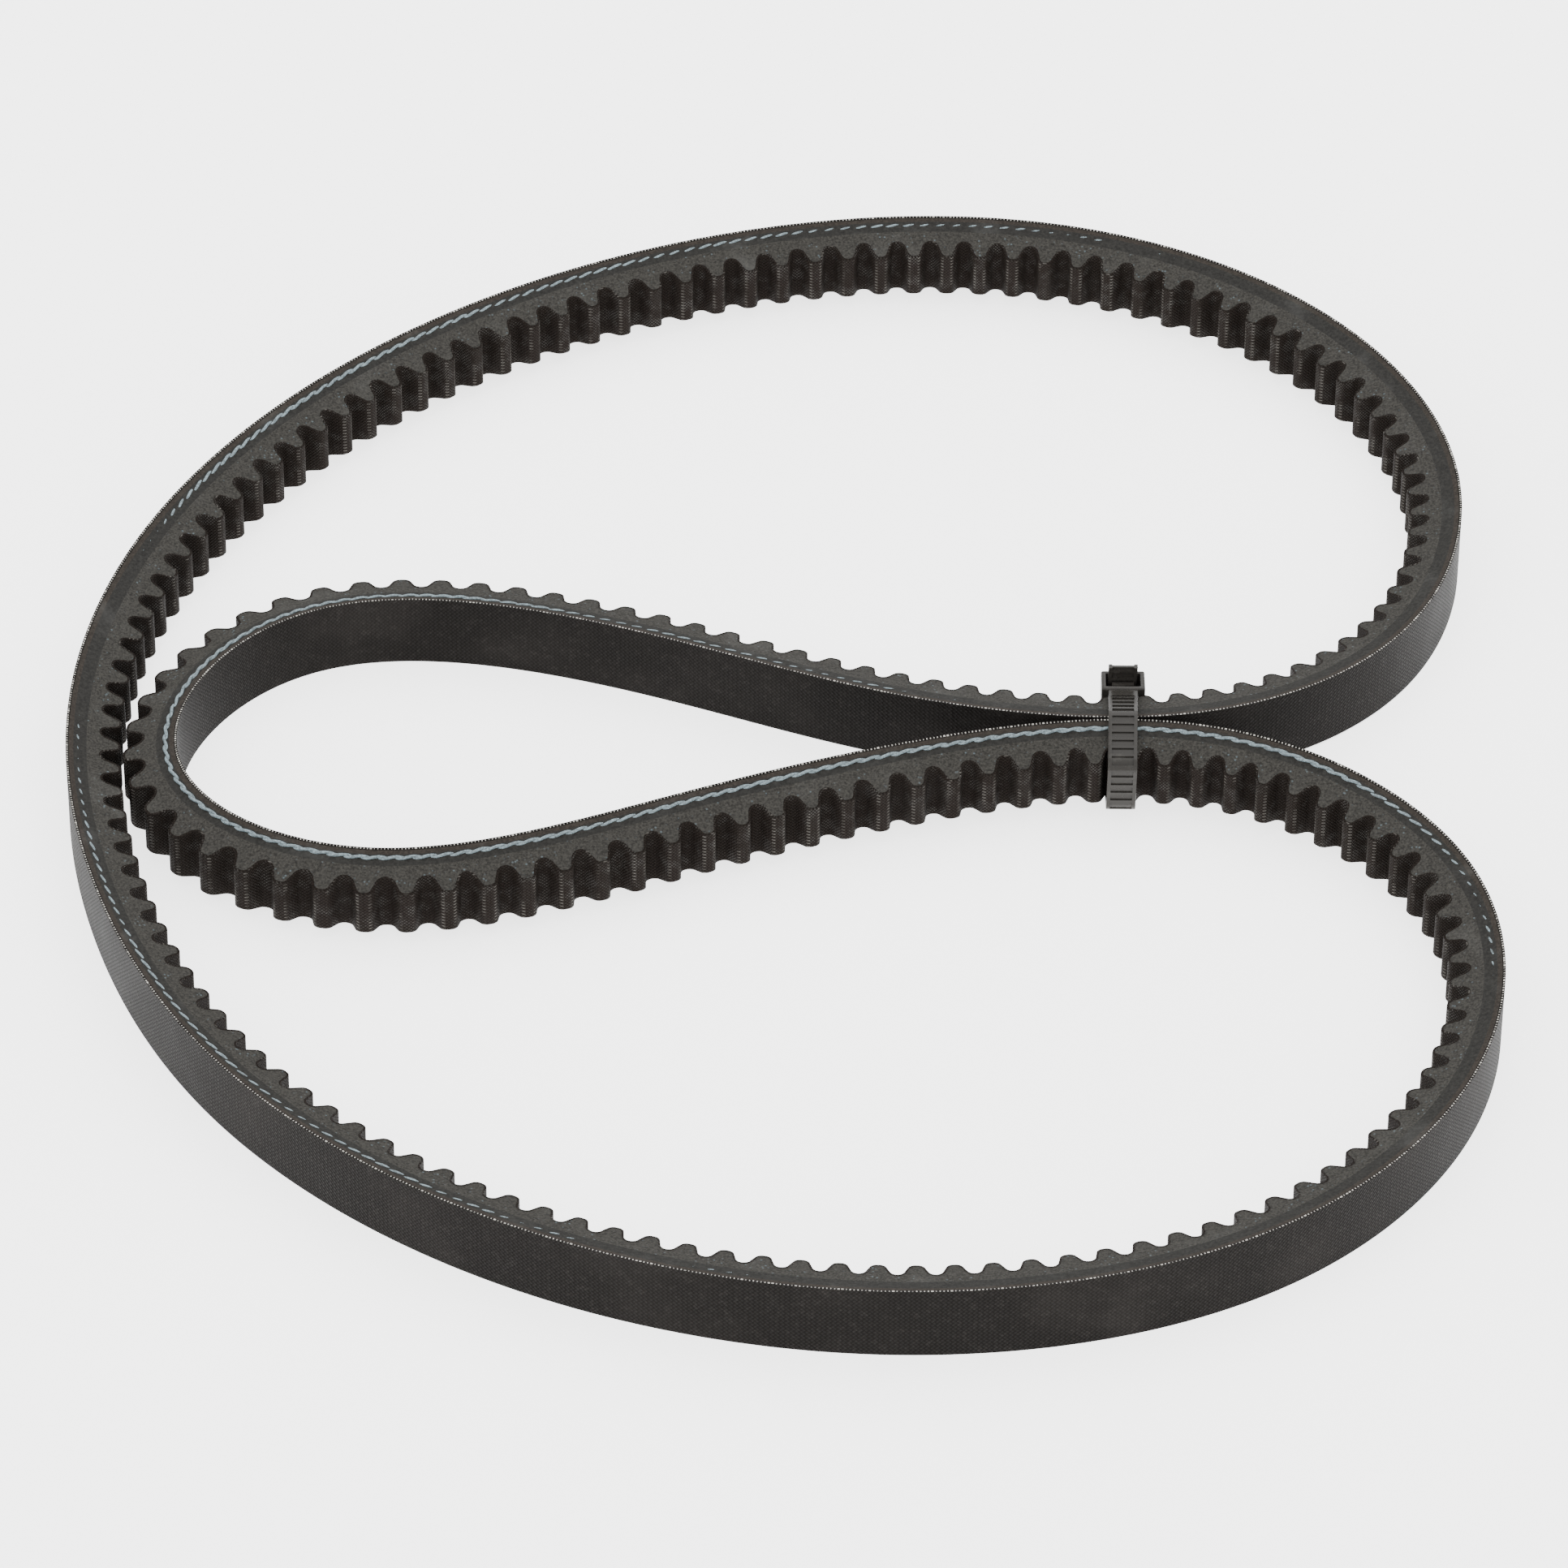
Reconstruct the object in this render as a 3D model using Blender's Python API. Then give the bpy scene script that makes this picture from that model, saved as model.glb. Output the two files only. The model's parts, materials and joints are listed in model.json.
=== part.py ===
"""Raw-edge cogged V-belt, folded into three loops and held by a nylon cable tie.

The belt stands on one edge. It is a closed band made of bonded plies, from the
back (outer face) inwards: woven back fabric, overcord rubber, one helically wound
tensile cord, adhesion gum, cogged undercord rubber and the fabric facing of the
cogs. Metres, +Z up, origin in the middle of the footprint.
"""

import math

import bmesh
import bpy
import numpy as np

MM = 0.001

# Belt section, across the band
TOP_WIDTH = 13.0 * MM
BELT_HEIGHT = 8.8 * MM
FLANK_HALF_ANGLE = math.radians(16.5)
NOTCH_DEPTH = 3.1 * MM
BOND_GAP = 0.1 * MM

# Ply thicknesses, from the back inwards
BACK_FABRIC = 0.5 * MM
OVERCORD = 0.65 * MM
CORD_DIAMETER = 1.0 * MM
ADHESION_GUM = 1.0 * MM
COG_FACING = 0.35 * MM

# Neutral line of the belt, along which the cogs are equally spaced
PITCH_LINE_DEPTH = 2.3 * MM

# Cogs and cord: phase and profile are fractions of a pitch, profile depth 1 is the tip
COG_COUNT = 202
COG_PHASE = -0.25
COG_PROFILE = ((0.13, 0.0), (0.33, 1.0), (0.67, 1.0), (0.87, 0.0))
CORD_TURNS = 7
CORD_EDGE_MARGIN = 0.6 * MM

# The folded outline of the back: control points of a closed cubic B-spline, in mm
ROUTE = (
    (66, -7.7), (108, 18.7), (119, 70), (96, 115), (53, 140), (4, 140), (-42, 123),
    (-80, 94), (-108, 54), (-120, 6), (-113, -42), (-93, -86), (-57, -119),
    (-12, -138), (36, -141), (83, -125), (115, -85), (116, -33), (77, 0.6),
    (30, -3.6), (-16, -19.5), (-67, -44), (-110, -15), (-83, 37), (-24, 23), (13, 3.6),
)
ROUTE_SAMPLES = 48
FACET_TURN = math.radians(9.5)
FACET_MAX_PITCHES = 4

# Cable tie, which lifts the two pinched runs off the floor by its own thickness
TIE_X = 57.0 * MM
TIE_REACH = 1.0 * MM
STRAP_WIDTH = 4.8 * MM
STRAP_THICKNESS = 1.0 * MM
STRAP_CLEARANCE = 0.15 * MM
STRAP_SIDE_CLEARANCE = 0.3 * MM
STRAP_TOOTH_PITCH = 1.6 * MM
STRAP_TOOTH_DEPTH = 0.25 * MM
STRAP_CORNER_RADIUS = 0.9 * MM
CORNER_SHARE = 0.45
CORNER_STEPS = 4
STRAP_ROOT_DROP = 0.1 * MM
STRAP_TURN_DROP = 1.0 * MM
STRAP_ROOT_GAP = 0.4 * MM
STRAP_PEAK_RISE = 0.15 * MM
TAIL_HEIGHT = 2.0 * MM
FLOOR_CLEARANCE = 0.05 * MM
TIE_LIFT = STRAP_THICKNESS + STRAP_CLEARANCE + FLOOR_CLEARANCE
TIE_LIFT_SPREAD = 45.0 * MM
HEAD_WIDTH = 7.2 * MM
HEAD_DEPTH = 4.9 * MM
HEAD_HEIGHT = 4.4 * MM
HEAD_WALL = 0.8 * MM
HEAD_EDGE_ROUND = 0.35 * MM
HEAD_STANDOFF = 0.25 * MM
SLOT_CLEARANCE = 0.15 * MM
RUN_HALF_GAP = 0.2 * MM
PAWL_THICKNESS = 0.8 * MM
PAWL_WIDTH = 3.6 * MM
PAWL_LENGTH = 3.2 * MM
PAWL_WALL_GAP = 0.25 * MM
PAWL_STRAP_GAP = 0.3 * MM
PAWL_FOOT_HEIGHT = 0.5 * MM

# Depths of the ply boundaries, measured from the back
OVERCORD_START = BACK_FABRIC + BOND_GAP
OVERCORD_END = OVERCORD_START + OVERCORD
CORD_DEPTH = OVERCORD_END + BOND_GAP + CORD_DIAMETER / 2
GUM_START = CORD_DEPTH + CORD_DIAMETER / 2 + BOND_GAP
GUM_END = GUM_START + ADHESION_GUM
UNDERCORD_START = GUM_END + BOND_GAP
FACING_DEPTH = BELT_HEIGHT - COG_FACING
ROOT_DEPTH = BELT_HEIGHT - NOTCH_DEPTH

# Colour, metallic and roughness of each sub-part
FINISHES = {
    "back_fabric": ((0.022, 0.020, 0.019), 0.0, 0.55),
    "overcord_rubber": ((0.045, 0.041, 0.036), 0.0, 0.80),
    "tensile_cord": ((0.380, 0.460, 0.500), 0.0, 0.75),
    "adhesion_gum": ((0.030, 0.029, 0.028), 0.0, 0.75),
    "undercord_rubber": ((0.050, 0.049, 0.046), 0.0, 0.85),
    "cog_fabric": ((0.026, 0.023, 0.021), 0.0, 0.80),
    "tie_strap": ((0.020, 0.020, 0.020), 0.0, 0.40),
    "tie_head": ((0.020, 0.020, 0.020), 0.0, 0.40),
    "tie_pawl": ((0.020, 0.020, 0.020), 0.0, 0.40),
}


def clear_scene():
    """Remove whatever the start-up file holds."""
    for item in list(bpy.data.objects):
        bpy.data.objects.remove(item, do_unlink=True)


def make_material(name):
    """One Principled material for one sub-part."""
    colour, metallic, roughness = FINISHES[name]
    material = bpy.data.materials.new(name)
    material.use_nodes = True
    shader = material.node_tree.nodes["Principled BSDF"]
    shader.inputs["Base Color"].default_value = (*colour, 1.0)
    shader.inputs["Metallic"].default_value = metallic
    shader.inputs["Roughness"].default_value = roughness
    return material


def add_object(name, bm, origin=(0.0, 0.0, 0.0)):
    """Turn a bmesh into a named object whose mesh is centred on origin."""
    bmesh.ops.recalc_face_normals(bm, faces=bm.faces)
    bmesh.ops.translate(bm, verts=bm.verts, vec=[-value for value in origin])
    mesh = bpy.data.meshes.new(name)
    bm.to_mesh(mesh)
    bm.free()
    mesh.materials.append(make_material(name))
    item = bpy.data.objects.new(name, mesh)
    item.location = origin
    bpy.context.scene.collection.objects.link(item)
    return item


# ---------------------------------------------------------------- the folded route


class BackLine:
    """The outline of the belt's back, read by distance along the pitch line."""

    def __init__(self):
        points = self.spline(np.array(ROUTE, dtype=float) * MM)
        points -= (points.min(axis=0) + points.max(axis=0)) / 2
        tangent = np.roll(points, -1, axis=0) - np.roll(points, 1, axis=0)
        tangent /= np.linalg.norm(tangent, axis=1)[:, None]
        normal = np.column_stack((-tangent[:, 1], tangent[:, 0]))
        pitch_line = points + normal * PITCH_LINE_DEPTH
        steps = np.linalg.norm(np.roll(pitch_line, -1, axis=0) - pitch_line, axis=1)
        self.distance = np.concatenate(([0.0], np.cumsum(steps)))
        self.points = np.vstack((points, points[:1]))
        self.normals = np.vstack((normal, normal[:1]))
        self.length = self.distance[-1]
        self.pitch = self.length / COG_COUNT

    @staticmethod
    def spline(control):
        """Points along the closed uniform cubic B-spline of the control points."""
        t = np.linspace(0.0, 1.0, ROUTE_SAMPLES, endpoint=False)[:, None]
        weights = (
            (1 - t) ** 3,
            3 * t**3 - 6 * t**2 + 4,
            -3 * t**3 + 3 * t**2 + 3 * t + 1,
            t**3,
        )
        spans = []
        for index in range(len(control)):
            corners = [control[(index + step) % len(control)] for step in (-1, 0, 1, 2)]
            spans.append(sum(weight * corner for weight, corner in zip(weights, corners)) / 6)
        return np.vstack(spans)

    def at(self, pitches):
        """Back point and inward normal at a number of cog pitches along the belt."""
        where = (pitches * self.pitch) % self.length
        point = [np.interp(where, self.distance, self.points[:, axis]) for axis in (0, 1)]
        normal = [np.interp(where, self.distance, self.normals[:, axis]) for axis in (0, 1)]
        return np.array(point), np.array(normal) / math.hypot(*normal)

    def tie_centre(self):
        """Middle of the two pinched runs where the tie crosses them."""
        near = self.points[np.abs(self.points[:, 0] - TIE_X) < TIE_REACH]
        pinched = near[np.abs(near[:, 1]) < BELT_HEIGHT]
        return np.array((TIE_X, pinched[:, 1].mean()))

    def lift(self, point):
        """How far the belt is held off the floor, most at the tie."""
        away = np.linalg.norm(point - self.tie_centre())
        return TIE_LIFT * math.exp(-((away / TIE_LIFT_SPREAD) ** 2))

    def section_point(self, pitches, depth, height):
        """A point of the band: depth from the back, height from its lower edge."""
        back, normal = self.at(pitches)
        place = back + normal * depth
        return (place[0], place[1], self.lift(back) + height)

    def facet_stations(self):
        """Whole pitches at which the plain plies have an edge, closer in tight bends."""
        stations = [0]
        start = self.at(0)[1]
        for index in range(1, COG_COUNT):
            turned = math.acos(min(1.0, float(np.dot(start, self.at(index + 1)[1]))))
            if turned > FACET_TURN or index - stations[-1] >= FACET_MAX_PITCHES:
                stations.append(index)
                start = self.at(index)[1]
        return stations


def flank_inset(depth):
    """How far the V flank has come in from the back's edge at this depth."""
    return depth * math.tan(FLANK_HALF_ANGLE)


# ---------------------------------------------------------------- the belt's plies


def ring(name, line, stations, corners):
    """A closed band: the same corners (depth, height) at each station."""
    bm = bmesh.new()
    loops = []
    for station in stations:
        loops.append([bm.verts.new(line.section_point(station, *corner)) for corner in corners])
    for index, loop in enumerate(loops):
        following = loops[(index + 1) % len(loops)]
        for side in range(len(corners)):
            after = (side + 1) % len(corners)
            bm.faces.new((loop[side], loop[after], following[after], following[side]))
    return add_object(name, bm)


def ply_corners(start, end):
    """Corners of a ply whose edges follow the V flanks."""
    return (
        (start, flank_inset(start)),
        (end, flank_inset(end)),
        (end, TOP_WIDTH - flank_inset(end)),
        (start, TOP_WIDTH - flank_inset(start)),
    )


def back_fabric(line, stations):
    """The woven back, cut square, so the belt rests on its flat lower edge."""
    corners = ((0.0, 0.0), (BACK_FABRIC, 0.0), (BACK_FABRIC, TOP_WIDTH), (0.0, TOP_WIDTH))
    return ring("back_fabric", line, stations, corners)


def tensile_cord(line, stations):
    """One cord wound helically from the lower edge to the upper one."""
    radius = CORD_DIAMETER / 2
    lowest = flank_inset(CORD_DEPTH) + CORD_EDGE_MARGIN
    spacing = (TOP_WIDTH - 2 * lowest) / CORD_TURNS
    angles = [math.radians(angle) for angle in (0, 120, 240)]
    along = [turn * COG_COUNT + station for turn in range(CORD_TURNS) for station in stations]
    along.append(CORD_TURNS * COG_COUNT)
    bm = bmesh.new()
    loops = []
    for pitches in along:
        height = lowest + spacing * pitches / COG_COUNT
        loop = []
        for angle in angles:
            depth = CORD_DEPTH + radius * math.cos(angle)
            place = line.section_point(pitches, depth, height + radius * math.sin(angle))
            loop.append(bm.verts.new(place))
        loops.append(loop)
    for loop, following in zip(loops, loops[1:]):
        for side in range(len(angles)):
            after = (side + 1) % len(angles)
            bm.faces.new((loop[side], loop[after], following[after], following[side]))
    bm.faces.new(loops[0])
    bm.faces.new(loops[-1])
    return add_object("tensile_cord", bm)


def cog_outline(grow, root, tip):
    """Pitch fraction and depth of one cog's corners, widened on each side by grow."""
    corners = []
    for fraction, level in COG_PROFILE:
        side = -grow if fraction < 0.5 else grow
        corners.append((fraction + side, root + (tip - root) * level))
    return corners


def flank_pair(bm, line, pitches, depth):
    """The lower and upper flank vertices at one place along the belt."""
    inset = flank_inset(depth)
    heights = (inset, TOP_WIDTH - inset)
    return [bm.verts.new(line.section_point(pitches, depth, height)) for height in heights]


def cog_rows(bm, line, outline):
    """Lower and upper flank vertices along all cogs, in running order."""
    rows = []
    for index in range(COG_COUNT):
        for fraction, depth in outline:
            pitches = index + COG_PHASE + fraction
            rows.append(flank_pair(bm, line, pitches, depth))
    return rows


def undercord_rubber(line, stations):
    """The compression rubber, plain towards the cord and cogged on the inside."""
    bm = bmesh.new()
    skin = COG_FACING + BOND_GAP
    cogs = cog_rows(bm, line, cog_outline(0.0, ROOT_DEPTH - skin, BELT_HEIGHT - skin))
    outer = [flank_pair(bm, line, station, UNDERCORD_START) for station in stations]
    for index, (low, high) in enumerate(cogs):
        next_low, next_high = cogs[(index + 1) % len(cogs)]
        bm.faces.new((low, high, next_high, next_low))
    per_cog = len(COG_PROFILE)
    for index, first in enumerate(stations):
        last = stations[index + 1] if index + 1 < len(stations) else COG_COUNT
        ends = (outer[index], outer[(index + 1) % len(outer)])
        bm.faces.new((ends[0][0], ends[0][1], ends[1][1], ends[1][0]))
        between = cogs[first * per_cog:last * per_cog]
        for level in (0, 1):
            edge = [row[level] for row in reversed(between)]
            bm.faces.new([ends[0][level], ends[1][level]] + edge)
            following = cogs[(last * per_cog) % len(cogs)][level]
            bm.faces.new((ends[1][level], following, between[-1][level]))
    return add_object("undercord_rubber", bm)


def cog_fabric(line):
    """The thin woven facing that follows every cog and notch."""
    bm = bmesh.new()
    bond = BOND_GAP / line.pitch
    cover = (COG_FACING + BOND_GAP) / line.pitch
    bonded = cog_rows(bm, line, cog_outline(bond, ROOT_DEPTH - COG_FACING, FACING_DEPTH))
    exposed = cog_rows(bm, line, cog_outline(cover, ROOT_DEPTH, BELT_HEIGHT))
    for index in range(len(bonded)):
        following = (index + 1) % len(bonded)
        for rows in (bonded, exposed):
            bm.faces.new((*rows[index], rows[following][1], rows[following][0]))
        for level in (0, 1):
            pair = (bonded[index][level], exposed[index][level])
            bm.faces.new((*pair, exposed[following][level], bonded[following][level]))
    return add_object("cog_fabric", bm)


# ---------------------------------------------------------------- the cable tie


def rounded_path(corners, radius):
    """A polyline through (y, z) corners with each inner corner rounded."""
    path = [np.array(corners[0])]
    for before, corner, after in zip(corners, corners[1:], corners[2:]):
        corner = np.array(corner)
        back = np.array(before) - corner
        ahead = np.array(after) - corner
        sides = (np.linalg.norm(back), np.linalg.norm(ahead))
        reach = min(radius, CORNER_SHARE * min(sides))
        start = corner + back / sides[0] * reach
        end = corner + ahead / sides[1] * reach
        for step in range(CORNER_STEPS + 1):
            t = step / CORNER_STEPS
            path.append((1 - t) ** 2 * start + 2 * t * (1 - t) * corner + t**2 * end)
    path.append(np.array(corners[-1]))
    return path


def even_steps(path, step):
    """The same path with a point every step, and its side normals."""
    path = np.array(path)
    lengths = np.linalg.norm(np.diff(path, axis=0), axis=1)
    distance = np.concatenate(([0.0], np.cumsum(lengths)))
    where = np.linspace(0.0, distance[-1], int(distance[-1] / step) + 1)
    points = np.column_stack([np.interp(where, distance, path[:, axis]) for axis in (0, 1)])
    tangent = np.gradient(points, axis=0)
    tangent /= np.linalg.norm(tangent, axis=1)[:, None]
    return points, np.column_stack((-tangent[:, 1], tangent[:, 0]))


class TiePlan:
    """Where the tie's pieces lie around the two pinched runs."""

    def __init__(self, line):
        self.x, self.y = line.tie_centre()
        self.half = BELT_HEIGHT + RUN_HALF_GAP
        self.low = TIE_LIFT
        self.high = TIE_LIFT + TOP_WIDTH
        self.tip_inset = flank_inset(BELT_HEIGHT)
        self.head_front = self.y + self.half + HEAD_STANDOFF
        self.head_back = self.head_front + HEAD_DEPTH
        self.root_height = self.high - self.tip_inset + STRAP_CLEARANCE
        self.head_top = self.root_height + STRAP_THICKNESS + STRAP_ROOT_DROP
        self.head_bottom = self.head_top - HEAD_HEIGHT
        self.slot_back = self.head_back - HEAD_WALL
        self.strap_outer = self.slot_back - SLOT_CLEARANCE
        self.strap_inner = self.strap_outer - STRAP_THICKNESS
        self.pawl_foot = self.head_front + HEAD_WALL + PAWL_WALL_GAP
        self.pawl_bottom = self.head_bottom + PAWL_FOOT_HEIGHT


def tie_strap(plan):
    """The toothed strap: over the top, down, under and up through the head."""
    gap = STRAP_CLEARANCE
    reach = plan.half + STRAP_SIDE_CLEARANCE
    low_tip = plan.low + plan.tip_inset
    high_tip = plan.high - plan.tip_inset
    corners = (
        (plan.head_front - STRAP_ROOT_GAP, plan.root_height),
        (plan.y, plan.high + gap + STRAP_PEAK_RISE),
        (plan.y - reach, high_tip + gap),
        (plan.y - reach, low_tip - gap),
        (plan.y, plan.low - gap - STRAP_PEAK_RISE),
        (plan.y + reach, low_tip - gap),
        (plan.strap_inner, plan.head_bottom - STRAP_TURN_DROP),
        (plan.strap_inner, plan.head_top + TAIL_HEIGHT),
    )
    points, normals = even_steps(
        rounded_path(corners, STRAP_CORNER_RADIUS), STRAP_TOOTH_PITCH / 2
    )
    bm = bmesh.new()
    loops = []
    for index, (point, normal) in enumerate(zip(points, normals)):
        outer = point - normal * STRAP_THICKNESS
        inner = point - normal * (STRAP_TOOTH_DEPTH if index % 2 else 0.0)
        loop = []
        for side, place in ((-1, outer), (1, outer), (1, inner), (-1, inner)):
            x = plan.x + side * STRAP_WIDTH / 2
            loop.append(bm.verts.new((x, place[0], place[1])))
        loops.append(loop)
    for loop, following in zip(loops, loops[1:]):
        for side in range(4):
            after = (side + 1) % 4
            bm.faces.new((loop[side], loop[after], following[after], following[side]))
    bm.faces.new(loops[0])
    bm.faces.new(loops[-1])
    return add_object("tie_strap", bm)


def rectangle(bm, half_width, centre_x, front, back, z):
    """Four vertices of a level rectangle."""
    corners = ((-1, front), (1, front), (1, back), (-1, back))
    return [bm.verts.new((centre_x + side * half_width, y, z)) for side, y in corners]


def tie_head(plan):
    """The locking head, a block with one slot right through it."""
    bm = bmesh.new()
    levels = []
    for z in (plan.head_bottom, plan.head_top):
        outer = rectangle(bm, HEAD_WIDTH / 2, plan.x, plan.head_front, plan.head_back, z)
        slot = rectangle(
            bm, HEAD_WIDTH / 2 - HEAD_WALL, plan.x,
            plan.head_front + HEAD_WALL, plan.slot_back, z,
        )
        levels.append((outer, slot))
    for side in range(4):
        after = (side + 1) % 4
        for outer, slot in levels:
            bm.faces.new((outer[side], outer[after], slot[after], slot[side]))
        for wall in (0, 1):
            low, high = levels[0][wall], levels[1][wall]
            bm.faces.new((low[side], low[after], high[after], high[side]))
    head = add_object("tie_head", bm)
    bevel = head.modifiers.new("round edges", "BEVEL")
    bevel.width = HEAD_EDGE_ROUND
    bevel.segments = 2
    bevel.limit_method = "ANGLE"
    return head


def tie_pawl(plan):
    """The sprung pawl, hinged at its foot and leaning towards the strap's teeth."""
    tip_front = plan.strap_inner - PAWL_STRAP_GAP - PAWL_THICKNESS
    bm = bmesh.new()
    foot = rectangle(
        bm, PAWL_WIDTH / 2, plan.x, plan.pawl_foot,
        plan.pawl_foot + PAWL_THICKNESS, plan.pawl_bottom,
    )
    tip = rectangle(
        bm, PAWL_WIDTH / 2, plan.x, tip_front,
        tip_front + PAWL_THICKNESS, plan.pawl_bottom + PAWL_LENGTH,
    )
    for side in range(4):
        after = (side + 1) % 4
        bm.faces.new((foot[side], foot[after], tip[after], tip[side]))
    bm.faces.new(foot)
    bm.faces.new(tip)
    hinge = (plan.x, plan.pawl_foot, plan.pawl_bottom)
    return add_object("tie_pawl", bm, origin=hinge)


def main():
    """Build every sub-part of the tied belt."""
    clear_scene()
    line = BackLine()
    stations = line.facet_stations()
    back_fabric(line, stations)
    ring("overcord_rubber", line, stations, ply_corners(OVERCORD_START, OVERCORD_END))
    tensile_cord(line, stations)
    ring("adhesion_gum", line, stations, ply_corners(GUM_START, GUM_END))
    undercord_rubber(line, stations)
    cog_fabric(line)
    plan = TiePlan(line)
    tie_strap(plan)
    tie_head(plan)
    tie_pawl(plan)


main()
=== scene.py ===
"""Looks of a folded, tied, raw-edge cogged V-belt, laid out as a Blender add-on.

The belt is modelled as by hand: one straight cog's length of each ply is shaped in
edit mode, repeated along X, and then bent round the folded route. The strap of the
cable tie is made in the same way. All sizes are in metres.
"""

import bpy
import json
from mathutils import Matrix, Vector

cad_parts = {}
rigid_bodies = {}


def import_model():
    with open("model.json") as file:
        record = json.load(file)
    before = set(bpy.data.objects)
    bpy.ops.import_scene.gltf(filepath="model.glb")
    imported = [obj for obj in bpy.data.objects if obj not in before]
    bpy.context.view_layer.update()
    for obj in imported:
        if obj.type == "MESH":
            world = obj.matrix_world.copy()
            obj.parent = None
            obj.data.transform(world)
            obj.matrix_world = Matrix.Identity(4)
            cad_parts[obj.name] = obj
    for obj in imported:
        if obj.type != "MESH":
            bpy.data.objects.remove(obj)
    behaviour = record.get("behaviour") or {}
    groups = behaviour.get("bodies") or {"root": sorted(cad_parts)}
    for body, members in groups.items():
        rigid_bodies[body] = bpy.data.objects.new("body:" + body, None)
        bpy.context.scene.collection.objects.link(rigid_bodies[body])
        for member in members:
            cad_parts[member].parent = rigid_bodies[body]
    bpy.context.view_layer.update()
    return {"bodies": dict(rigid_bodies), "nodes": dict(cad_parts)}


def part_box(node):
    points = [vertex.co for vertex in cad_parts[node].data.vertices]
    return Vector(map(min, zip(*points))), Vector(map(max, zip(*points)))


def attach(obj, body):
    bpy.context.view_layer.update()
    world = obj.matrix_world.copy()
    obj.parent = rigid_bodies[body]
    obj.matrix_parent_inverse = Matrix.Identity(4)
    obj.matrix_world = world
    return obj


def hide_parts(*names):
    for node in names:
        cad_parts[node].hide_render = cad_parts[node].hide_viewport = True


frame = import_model()

import json
import math

import bmesh
import bpy
import numpy as np
from bpy.props import FloatProperty, FloatVectorProperty, IntProperty, PointerProperty
from mathutils import Matrix, Vector

bl_info = {
    "name": "Tied Cogged V-Belt",
    "version": (1, 0, 0),
    "blender": (4, 5, 0),
    "location": "3D View > Sidebar > Belt",
    "description": "Models a folded raw-edge cogged V-belt with its cable tie",
    "category": "Object",
}

MM = 0.001

# The folded outline of the back: control points of a closed cubic B-spline, in mm
ROUTE = (
    (66, -7.7), (108, 18.7), (119, 70), (96, 115), (53, 140), (4, 140), (-42, 123),
    (-80, 94), (-108, 54), (-120, 6), (-113, -42), (-93, -86), (-57, -119),
    (-12, -138), (36, -141), (83, -125), (115, -85), (116, -33), (77, 0.6),
    (30, -3.6), (-16, -19.5), (-67, -44), (-110, -15), (-83, 37), (-24, 23), (13, 3.6),
)
ROUTE_SAMPLES = 400
GUIDE_POINTS_PER_COG = 12

# How bare the outermost turn of cord lies: (cogs along the belt, 0 buried to 1 bare)
CORD_SHOWING = (
    (0, 0.0), (27, 0.0), (31, 0.36), (43, 0.54), (47, 0.66), (52, 0.84), (58, 0.80),
    (61, 0.45), (64, 0.0), (68, 0.0), (70, 0.18), (75, 0.30), (82, 0.56), (90, 0.46), (99, 0.20),
    (103, 0.0), (125, 0.0), (127, 0.26), (131, 0.50), (135, 0.95), (181, 0.95),
    (186, 0.52), (194, 0.30), (198, 0.0), (202, 0.0),
)

RANDOM_SEED = 5

# How close two places count as the same, and how squarely a face looks along an axis:
# straight at it, on the flank at all, or outwards from the cogs at all
CLOSE = 0.01 * MM
SQUARE_ON = 0.9
ON_FLANK = 0.7
ON_COG = 0.05

# Cutting up and joining the straight pitches, how far the rubber stays below its fabric,
# and how far the fabric's cut edge stands out of the flank
BEND_CUTS_PER_COG = 8
CORNER_SEGMENTS = 5
SEAM_MERGE = 0.02 * MM
SEAM_GAP = 0.13 * MM
CORE_SKIN = 0.06 * MM
FACING_PROUD = 0.03 * MM

# Edges that turn by less than these angles are shaded smooth
BELT_SMOOTH = math.radians(38)
THREAD_SMOOTH = math.radians(80)
TIE_SMOOTH = math.radians(30)

# The twisted cord: its mesh, how many radii down it lies where it is buried, and how
# unevenly it shows
STRANDS = 2
STRAND_SIDES = 10
STEPS_PER_TURN = 14
BURIED = 1.15
WAVER = (-0.22, 0.12)

# The cut thread ends: half their breadth, their reach to the outside, and how they vary
STUB_HALF = 0.12 * MM
STUB_REACH = 0.22 * MM
STUB_TAPER = 0.62
STUB_BREADTH = (0.55, 1.15)
STUB_DOUBLE = 2.0
DOUBLE_CHANCE = 0.16
STUB_HEIGHT = (0.3, 1.1)

# Thread spacings of the two fabrics and of the pale painted highlight hatch at the cogs'
# corners, where that painted highlight fades, and which place of cog_profile is the corner
BACK_THREAD = 0.55 * MM
FACING_THREAD = 0.43 * MM
HIGHLIGHT_HATCH_SPACING = 0.62 * MM
HIGHLIGHT_HATCH_FADE = (0.018, 0.05)
TIP_CORNER = 2

# The strap's inner side: (to the rear of the tie's middle, above the floor), in mm, and
# how its corners are rounded: steps in an arc, and how much of a leg the arc may use
STRAP_ROUTE = (
    (9.7, 11.478), (0.0, 14.5), (-9.3, 11.743), (-9.3, 3.657), (0.0, 0.9),
    (9.3, 3.657), (12.2, 7.443), (12.2, 14.843),
)
STRAP_ARC_STEPS = 8
LEG_SHARE = 0.48

# The strap's smooth start in rungs, its sideways drift, and the tie's rounded edges
STRAP_SMOOTH_RUNGS = 2
STRAP_DRIFT = 0.7 * MM
STRAP_CUTS_PER_RUNG = 8
STRAP_GUIDE_STEP = 0.15 * MM
STRAP_ROUND = 0.13 * MM
HEAD_ROUND = 0.35 * MM
SLOT_ROUND = 0.12 * MM

FLOOR_SIZE = 12.0
SOFTBOX_SIDE = 1.2


# ---------------- sizes and colours


def length(name, description, default):
    """A length property in metres."""
    return FloatProperty(
        name=name, description=description, default=default, min=0.0,
        precision=5, subtype="DISTANCE", unit="LENGTH",
    )


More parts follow.
